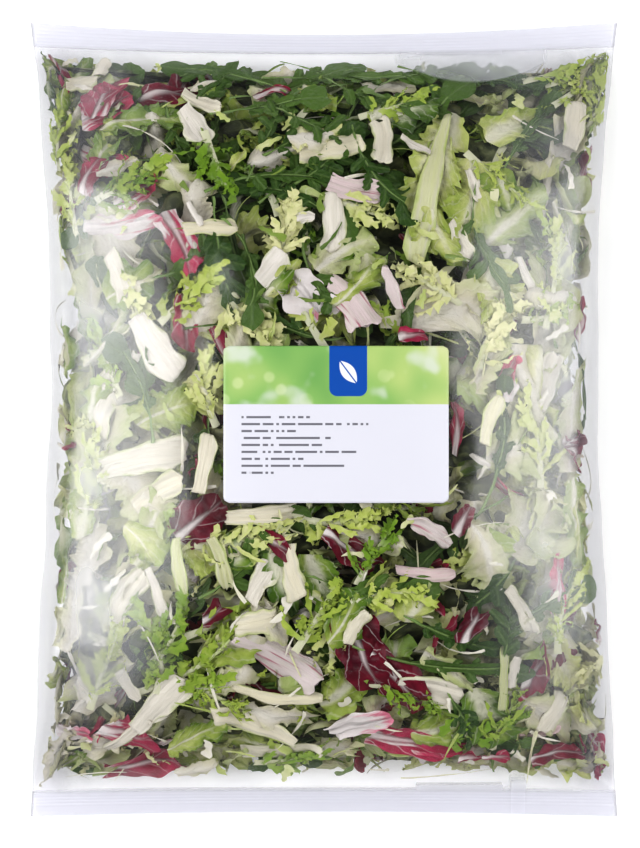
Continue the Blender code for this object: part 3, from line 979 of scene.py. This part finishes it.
# Columns as for endive. Tint: 0 is yellow green and 100 is cream.
SHOWN_ESCAROLE = [
    (-73, 125, -48, 50, 17, 62), (-105, 128, 20, 24, 9, 95), (-116, 136, -60, 24, 13, 30),
    (-6, 144, 10, 26, 17, 90), (66, 52, 10, 50, 34, 85), (85, 58, -30, 44, 30, 90),
    (115, 117, 84, 36, 16, 97), (128, 146, 60, 40, 28, 95), (96, 100, 40, 46, 32, 35),
    (124, 92, -70, 40, 22, 60), (-122, 70, 82, 46, 26, 70), (-104, 82, -60, 44, 30, 90),
    (-112, 40, 50, 44, 30, 62), (-116, -14, 60, 46, 30, 72), (-96, -36, -50, 42, 26, 80),
    (-124, -66, 84, 50, 22, 90), (-100, -78, 30, 36, 26, 90), (-130, -30, 86, 44, 18, 45),
    (-131, -99, 85, 42, 14, 85), (-112, -136, 40, 44, 24, 93), (-86, -50, 60, 26, 19, 50),
    (-116, -168, 10, 40, 20, 96), (-64, -180, 14, 26, 15, 92), (-138, -178, 68, 38, 15, 95),
    (-24, -152, -14, 46, 18, 93), (2, -172, 8, 44, 16, 85), (-48, -132, 30, 36, 22, 80),
    (107, -51, 40, 48, 42, 72), (82, -72, -76, 48, 28, 70), (130, -52, -84, 46, 16, 25),
    (124, -124, -60, 46, 28, 80), (112, -92, 70, 44, 30, 60), (118, 58, 80, 56, 36, 75),
    (106, 14, -60, 54, 38, 72), (130, 0, 84, 56, 28, 70), (100, -14, 20, 40, 30, 60),
    (112, -152, -30, 50, 28, 75), (84, 30, 60, 40, 28, 70), (-34, -62, 12, 36, 20, 75),
    (24, -60, -12, 34, 18, 80), (-28, -98, -60, 34, 22, 85), (40, -94, 30, 34, 22, 60),
    (64, -128, -40, 34, 22, 55), (-60, 60, 70, 36, 22, 80), (134, -178, 6, 30, 13, 60),
    (10, 84, 30, 34, 20, 55), (-44, 30, 80, 34, 20, 75), (-92, 154, 8, 46, 20, 8),
    (-112, 138, 62, 26, 14, 10), (38, 160, 14, 34, 24, 2), (-60, 172, 20, 22, 14, 80),
    (34, 174, 6, 30, 12, 88), (78, 166, -12, 34, 16, 75),
]
draw = np.random.default_rng(29)
patches = []
lay_shown(
    lambda length, wide, tint: endive(draw, length, wide * MILLI, tint / 100, ease_off=0.6),
    SHOWN_ESCAROLE, draw, (1.6, 3.6), patches,
)
lay_spread(
    lambda place: endive(draw, draw.uniform(0.032, 0.062), draw.uniform(0.022, 0.042), draw.beta(1.6, 1.3)),
    150, draw, (0.3, 0.4), patches, room=0.006, shallow=0.0038, deep=0.008,
    favour=lambda turn, run: 0.15 + 0.85 * max(eased(abs(turn), 0.10, 0.17), 1.0 - eased(run, -0.12, -0.04)),
)

material, tree, flat, (along, edge, tint), (length_run, aside, mark) = leaf_material("escarole")
mottle = flat.noise(130.0, 4.0)
side_veins = (length_run * 100.0 - aside * 120.0 + mottle * 2.2).lines(0.36, 0.50)
leaf_colour = (tint + (mottle - 0.5) * 0.45 + (edge - 0.6) * -0.34 - (along - 0.5) * 0.22).ramp(
    (0.00, (0.190, 0.310, 0.060)), (0.30, (0.380, 0.480, 0.150)), (0.60, (0.600, 0.640, 0.320)),
    (0.85, (0.760, 0.715, 0.530)), (1.00, (0.810, 0.755, 0.650)),
)
breadth = (mark * 5.3).fract() * 0.45 + 0.12
rib = broad_rib(edge, along, breadth)
colour = (rib * 0.85).most(side_veins * 0.22).mix(leaf_colour, (0.86, 0.82, 0.73))
bump = (mottle - side_veins * 0.05).bump(1.0, 0.0030)
show(tree, leaf_surface(tree, colour, bump, 0.36, glow=(0.60, 0.64, 0.24), through=0.16))
make_piece("escarole_leaves", patches, material)


# Curly endive: each sprig is a thin pale rib with many narrow toothed fronds that curl every way.
# They fill the gaps between the broader leaves and show as a fine tangle.


def curly(random, tint, length, fronds=16):
    s = np.linspace(0.0, 1.0, 15)
    rib = blade(
        random, 0.0022 * (1.15 - s) + 0.0003, length, turn=random.uniform(-0.9, 0.9),
        lift=random.uniform(-0.8, 0.8), lanes=2, cup=1.2, tint=tint,
    )
    places, outlines, reaches, aside = [], [], [], []
    for i in range(fronds):
        at = 0.15 + 0.85 * (i + random.random()) / fronds
        tooth = 1.0 + 0.42 * np.sin(random.uniform(1.5, 2.6) * np.arange(11) + random.uniform(0.0, ANY_ANGLE))
        tooth *= np.sin(math.pi * np.linspace(0.12, 1.0, 11)) ** 0.6
        places.append(at)
        outlines.append(random.uniform(0.0010, 0.0030) * tooth + 0.0002)
        reaches.append(random.uniform(0.009, 0.023) * (1.1 - 0.3 * at))
        aside.append(random.choice((-1.0, 1.0)) * random.uniform(0.35, 1.15) * (1.2 - at))
    return feathered(
        random, rib, places, outlines, reaches, aside, 1.2, tint, slant=0.7, lanes=2,
        cup=random.normal(0.0, 1.1), frill=0.0010,
    )


# x, y, heading, length and tint, as for endive.
SHOWN_CURLY = [
    (-71, -128, 30, 62, 55), (-86, -118, 100, 48, 50), (-58, -140, -30, 46, 62), (-100, 120, 30, 34, 55),
    (-55, 132, -70, 34, 35), (133, 171, 40, 44, 65), (142, 180, 78, 42, 70), (120, 176, 10, 40, 60),
    (86, 42, 60, 38, 97), (56, 66, 150, 34, 94), (76, -160, 20, 52, 40), (92, -156, 70, 40, 55),
    (-40, 52, -40, 30, 92), (-20, 92, 80, 34, 95), (30, -88, 10, 34, 72), (24, -70, 60, 30, 40),
    (-58, 12, 100, 34, 85), (-98, 60, -60, 44, 90), (-120, -30, 80, 48, 80), (-112, -128, 70, 46, 75),
    (124, -96, 70, 48, 75), (108, -10, 100, 50, 82), (118, 70, 80, 50, 80), (88, 122, -40, 44, 70),
    (-44, -60, 10, 44, 85), (8, -50, 0, 50, 75), (-4, -100, 60, 40, 60), (40, -140, -20, 36, 45),
    (20, 106, -20, 40, 85), (34, 160, 20, 36, 60), (-130, 110, 95, 44, 75), (-70, 60, 40, 36, 70),
    (-20, -176, 10, 32, 45), (-78, -110, 60, 36, 45), (-66, -138, 20, 34, 50), (-104, 116, 20, 34, 35),
    (138, 160, 110, 40, 74), (128, 182, 20, 34, 66), (-138, 142, 80, 36, 66),
]
draw = np.random.default_rng(31)
patches = []
lay_shown(
    lambda length, tint: curly(draw, tint / 100, length, fronds=22),
    SHOWN_CURLY, draw, (1.4, 3.2), patches, press=0.7,
)
lay_spread(
    lambda place: curly(draw, some_tint(draw, paleness(place) + 0.06, 0.20), draw.uniform(0.028, 0.058)),
    120, draw, (0.3, 0.4), patches, press=0.7,
)

material, tree, flat, (along, _, tint), _ = leaf_material("curly_endive")
mottle = flat.noise(240.0, 3.0)
tip_colour = (tint + (mottle - 0.5) * 0.40).ramp(
    (0.00, (0.060, 0.150, 0.014)), (0.40, (0.220, 0.380, 0.036)), (0.70, (0.540, 0.640, 0.130)),
    (1.00, (0.890, 0.860, 0.500)),
)
colour = along.ease(0.10, 0.60).mix((0.80, 0.80, 0.58), tip_colour)
bump = mottle.bump(0.4, 0.0006)
show(tree, leaf_surface(tree, colour, bump, 0.40, glow=(0.45, 0.56, 0.10), through=0.18))
make_piece("curly_endive_sprigs", patches, material)


# Radicchio: thick glossy pieces, wine red between white veins that fan out from a white base.
# The head is cut small, so the pieces are short, and many of them are cupped or folded.


def wavering(random, s, amount, slowest, fastest):
    """How an edge wavers down a leaf's length: one wave, in and out by the amount."""
    return 1.0 + amount * np.sin(random.uniform(slowest, fastest) * s + random.uniform(0.0, 6.0))


def radicchio(random, length, wide, tint, ease_off=1.0):
    s = np.linspace(0.0, 1.0, 25)
    halves = []
    for _ in range(2):
        body = wide / 2.0 * (0.66 + 0.34 * np.sin(math.pi * s))
        body *= wavering(random, s, 0.16, 5.0, 9.0)
        body *= wavering(random, s, 0.08, 16.0, 26.0)
        body *= np.clip((1.03 - s) / 0.12, 0.0, 1.0) ** 0.5
        halves.append(np.maximum(body, 0.0006))
    if random.random() < 0.6:
        fold = random.normal(0.0, 0.5)
    else:
        fold = random.choice((-1.0, 1.0)) * random.uniform(0.7, 1.3)
    return blade(
        random, halves, length, turn=random.normal(0.0, 0.4),
        **bent(random, ease_off, lift=1.3, hook=1.2, roll=0.8, cup=1.3), fold=ease_off * fold,
        frill=random.uniform(0.0006, 0.0024), waves=length / 0.020, crumple=random.uniform(0.04, 0.11),
        slant=0.1, cuts=random.normal(0.0, 0.6, 2),
        pleats=(random.uniform(0.6, 1.6), random.uniform(0.0, 0.0016)), lanes=10, tint=tint,
    )


# Columns as for endive. Tint: 0 is nearly black red, 50 is pink red with white veins, and 100 is
# white with red stripes.
SHOWN_RADICCHIO = [
    (-112, 161, 30, 32, 27, 40), (-84, 167, 4, 38, 14, 12), (-23, 168, 5, 28, 8, 25),
    (-120, 124, 60, 24, 18, 30), (-95, 116, 24, 34, 17, 42), (-104, 99, 8, 44, 19, 66),
    (-73, 88, -66, 38, 17, 50), (-70, 48, -88, 30, 16, 30), (-9, 62, -50, 28, 24, 90),
    (67, -4, 88, 28, 10, 30), (14, -66, -34, 38, 16, 10), (75, -103, 60, 20, 17, 5),
    (20, -118, -70, 44, 30, 10), (38, -134, -50, 46, 26, 14), (18, -156, 20, 34, 17, 80),
    (43, -165, -10, 46, 18, 38), (108, -128, 50, 22, 18, 22), (119, -171, 10, 28, 14, 15),
    (120, -84, 86, 34, 11, 50), (131, -10, 20, 12, 9, 10), (143, -107, 85, 14, 6, 20),
    (133, 50, 85, 24, 7, 25), (-101, -161, -20, 28, 20, 40), (-63, -50, 40, 30, 24, 10),
    (95, 21, 80, 26, 9, 60), (74, -174, 10, 12, 8, 25), (88, -173, 5, 16, 8, 30), (44, 42, 10, 14, 9, 35),
    (-93, -180, 12, 44, 20, 30), (-56, -98, 40, 14, 13, 10), (-129, -160, -20, 22, 13, 72),
    (-24, -62, -30, 18, 10, 15), (70, -50, 60, 18, 9, 12), (58, -168, -24, 30, 18, 42),
    (-114, 164, 70, 26, 20, 34),
]
draw = np.random.default_rng(43)
patches = []
lay_shown(
    lambda length, wide, tint: radicchio(draw, length, wide * MILLI, tint / 100, ease_off=0.6),
    SHOWN_RADICCHIO, draw, (0.9, 2.0), patches,
)
lay_spread(
    lambda place: radicchio(
        draw, draw.uniform(0.018, 0.042), draw.uniform(0.012, 0.030), draw.beta(1.2, 2.4),
    ),
    90, draw, (0.4, 0.6), patches, favour=lambda turn, run: 1.0 - 0.5 * eased(run, -0.04, 0.12),
)

material, tree, flat, (along, _, tint), (length_run, aside, _) = leaf_material("radicchio")
stretched = tree.add("Mapping", {"Vector": flat, "Scale": (45.0, 260.0, 1.0)})
streaks = stretched.noise(1.0, 3.0)
mottle = flat.noise(150.0, 4.0)
fan = (length_run * 70.0 - aside * 110.0 + mottle * 0.7).lines(0.43, 0.50)
midrib = 1.0 - (aside + (mottle - 0.5) * 0.0010 + along * 0.0022).ease(0.0012, 0.0032)
flesh = (tint * 0.95 + (mottle - 0.5) * 0.55).ramp(
    (0.00, (0.075, 0.006, 0.016)), (0.22, (0.220, 0.012, 0.034)), (0.50, (0.600, 0.045, 0.130)),
    (0.85, (0.860, 0.320, 0.430)),
)
white = (0.90, 0.84, 0.82)
bare = (streaks + tint * 0.75 - along * 0.35).ease(0.71, 0.87)
lines = (midrib * (1.0 - along * 0.7)).most(fan * 0.55 * (1.0 - along * 0.6))
colour = bare.most(lines).mix(flesh, white)
bump = (mottle + midrib).bump(0.9, 0.0018)
show(tree, leaf_surface(tree, colour, bump, 0.33, glow=(0.60, 0.04, 0.12), through=0.14))
make_piece("radicchio_pieces", patches, material)


# Ribs: the thick white feet of endive, escarole and radicchio leaves, cut across and faintly fluted.
# They are solid pieces, thinner towards their edges, that bend less than a blade does.


def rib(random, length, wide, tint, foot=None, ease_off=1.0):
    s = np.linspace(0.0, 1.0, 20)
    halves = []
    for _ in range(2):
        narrow = random.uniform(0.45, 1.0) if foot is None else foot
        body = wide / 2.0 * (narrow * (1.0 - s) + (random.uniform(0.6, 1.0) if foot is None else 1.0) * s)
        body *= wavering(random, s, 0.12, 4.0, 8.0)
        body *= wavering(random, s, 0.06, 14.0, 22.0)
        halves.append(body * np.clip((1.04 - s) / random.uniform(0.05, 0.35), 0.0, 1.0) ** 0.5)
    thick = random.uniform(0.0006, 0.0011) * (1.0 - 0.5 * s) + 0.0002
    return blade(
        random, halves, length, thick=thick, turn=random.normal(0.0, 0.35),
        lift=ease_off * random.normal(0.0, 1.1), hook=random.normal(0.0, 0.6),
        **bent(random, ease_off, roll=0.9, cup=1.2, fold=0.4), frill=random.uniform(0.0, 0.0010), waves=2.0,
        crumple=random.uniform(0.01, 0.05), cuts=random.normal(0.0, 0.7 if foot is None else 0.25, 2),
        tint=tint, pleats=(random.uniform(0.8, 2.2), random.uniform(0.0005, 0.0022)), lanes=10,
    )


# Columns as for endive. Tint: 0 is white, towards 50 it is greener, and towards 100 pink from radicchio.
# The last number is how wide a piece starts, in hundredths of its width: a fan starts narrow.
SHOWN_RIBS = [
    (54, 119, -101, 86, 16, 42, 30), (-24, -122, -32, 52, 32, 72, 35), (5, 99, -88, 30, 18, 8, 60),
    (-66, 150, -60, 24, 16, 5, 60), (-62, 163, -28, 24, 10, 15, 70), (-124, 172, 10, 18, 13, 20, 80),
    (-113, 181, 75, 15, 9, 10, 80), (-57, 96, 2, 28, 9, 25, 80), (-65, 103, -60, 14, 8, 2, 70),
    (-85, 36, -54, 38, 22, 4, 60), (-9, 101, 10, 9, 7, 2, 90), (-26, 76, 50, 20, 14, 3, 70),
    (4, 138, 15, 34, 16, 25, 60), (29, 142, -88, 28, 12, 15, 80), (16, 116, -15, 28, 15, 80, 70),
    (13, 58, -50, 30, 20, 78, 50), (46, 139, -35, 18, 6, 5, 50), (69, 90, -60, 22, 10, 10, 70),
    (76, 118, -70, 18, 7, 8, 70), (105, 69, -58, 30, 9, 5, 60), (34, 66, -72, 24, 9, 75, 40),
    (-92, -20, 10, 48, 20, 12, 60), (-84, -36, 30, 32, 14, 20, 70), (-60, -22, 80, 30, 14, 18, 70),
    (-31, -48, 4, 38, 11, 20, 80), (54, -56, -34, 24, 13, 70, 60), (51, -77, -4, 30, 7, 85, 80),
    (-32, -82, 60, 22, 14, 8, 60), (-16, -76, -75, 28, 13, 22, 70), (-73, -74, -82, 30, 8, 45, 60),
    (-52, -72, -72, 28, 9, 40, 60), (-99, -135, -60, 20, 8, 10, 80), (-24, -141, -8, 46, 11, 25, 70),
    (-84, -88, -70, 30, 9, 6, 60), (54, -138, -16, 34, 20, 10, 50), (-35, -157, -22, 46, 16, 20, 70),
    (-20, -172, 4, 46, 11, 15, 70), (-34, -102, 12, 22, 14, 22, 80), (-84, -145, 50, 40, 20, 8, 50),
    (-100, -162, 40, 34, 10, 10, 50), (96, -128, 80, 18, 7, 5, 80), (91, -131, 88, 40, 5, 45, 90),
    (-100, -90, 60, 34, 14, 15, 70), (116, 20, 70, 32, 16, 10, 60), (-104, 70, -70, 30, 14, 10, 70),
    (118, -150, 60, 26, 12, 12, 70), (84, 0, 70, 26, 10, 30, 70), (-112, 8, 80, 36, 16, 12, 60),
    (128, 150, 80, 30, 16, 15, 60), (100, -96, -60, 26, 12, 10, 60), (16, -104, 60, 20, 9, 18, 70),
]
draw = np.random.default_rng(53)
patches = []
lay_shown(
    lambda length, wide, tint, foot: rib(draw, length, wide * MILLI, tint / 100, foot / 100, ease_off=0.5),
    SHOWN_RIBS, draw, (0.9, 2.0), patches,
)
lay_spread(
    lambda place: rib(draw, draw.uniform(0.014, 0.036), draw.uniform(0.005, 0.014), draw.random() ** 1.2),
    70, draw, (0.3, 0.5), patches, favour=lambda turn, run: 1.0 - 0.55 * eased(run, -0.05, 0.10),
)

material, tree, flat, (_, edge, tint), _ = leaf_material("white_rib")
stretched = tree.add("Mapping", {"Vector": flat, "Scale": (30.0, 420.0, 1.0)})
flutes = stretched.noise(1.0, 3.0)
mottle = flat.noise(110.0, 3.0)
body = tint.ramp(
    (0.00, (0.82, 0.77, 0.72)), (0.25, (0.79, 0.73, 0.54)), (0.50, (0.57, 0.62, 0.28)),
    (0.70, (0.76, 0.67, 0.66)), (1.00, (0.72, 0.48, 0.50)),
)
green = (edge * 0.7 + mottle * 0.6 - (1.0 - tint) * 0.22).ease(0.60, 0.95) * (1.0 - tint.ease(0.52, 0.66))
stripes = tint.ease(0.55, 0.70) * flutes.ease(0.58, 0.68)
# Painted shade: the rib's colour darkens in lengthwise furrows and along its flutes.
furrow = tree.maths("SINE", edge * 9.0 + mottle * 5.0)
furrow_painted_shade = (flutes.ease(0.35, 0.65) * 0.25 + furrow.ease(0.2, 1.0) * 0.30).mix(body, (0.62, 0.59, 0.49))
coloured = (green * 0.8).mix(furrow_painted_shade, (0.40, 0.50, 0.12))
colour = (stripes * 0.75).mix(coloured, (0.42, 0.06, 0.14))
bump = flutes.bump(0.8, 0.0016)
show(tree, leaf_surface(tree, colour, bump, 0.34))
make_piece("white_ribs", patches, material)


# Shreds: thin stalks and slivers that the knife leaves, in every colour of the other pieces.
# They slip down between the leaves and fill the last gaps under the film.

draw = np.random.default_rng(61)
patches = []
for place, depth in spread(360, draw):
    s = np.linspace(0.0, 1.0, 13)
    long = draw.random() < 0.45
    length = draw.uniform(0.022, 0.050) if long else draw.uniform(0.007, 0.020)
    half = draw.uniform(0.0006, 0.0013) if long else draw.uniform(0.0012, 0.0036)
    body = half * (1.0 + 0.3 * np.sin(draw.uniform(8.0, 20.0) * s)) * np.sqrt((1.04 - s) / 1.04)
    shred = blade(
        draw, body, length, **bent(draw, 1.0, turn=1.0, lift=1.5, roll=1.6, cup=1.0, fold=0.4),
        crumple=0.0004, lanes=3, tint=some_tint(draw, paleness(place) + 0.15, 0.25),
    )
    lay(shred, place, draw.uniform(0.0, ANY_ANGLE), 0.0008 + 0.5 * depth * draw.random(), patches,
        tip=draw.normal(0.0, 0.3), press=0.9)

material, tree, flat, (_, _, tint), _ = leaf_material("shreds")
mottle = flat.noise(200.0, 3.0)
colour = (tint + (mottle - 0.5) * 0.35).ramp(
    (0.00, (0.090, 0.160, 0.030)), (0.35, (0.260, 0.360, 0.070)), (0.65, (0.560, 0.620, 0.220)),
    (0.85, (0.780, 0.760, 0.500)), (1.00, (0.820, 0.780, 0.680)),
)
bump = mottle.bump(0.4, 0.0005)
show(tree, leaf_surface(tree, colour, bump, 0.40))
make_piece("shreds", patches, material)


looks_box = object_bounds()
sizes = {"cad": cad_box, "visual": looks_box}
{name: [list(map(float, corner)) for corner in box] for name, box in sizes.items()}
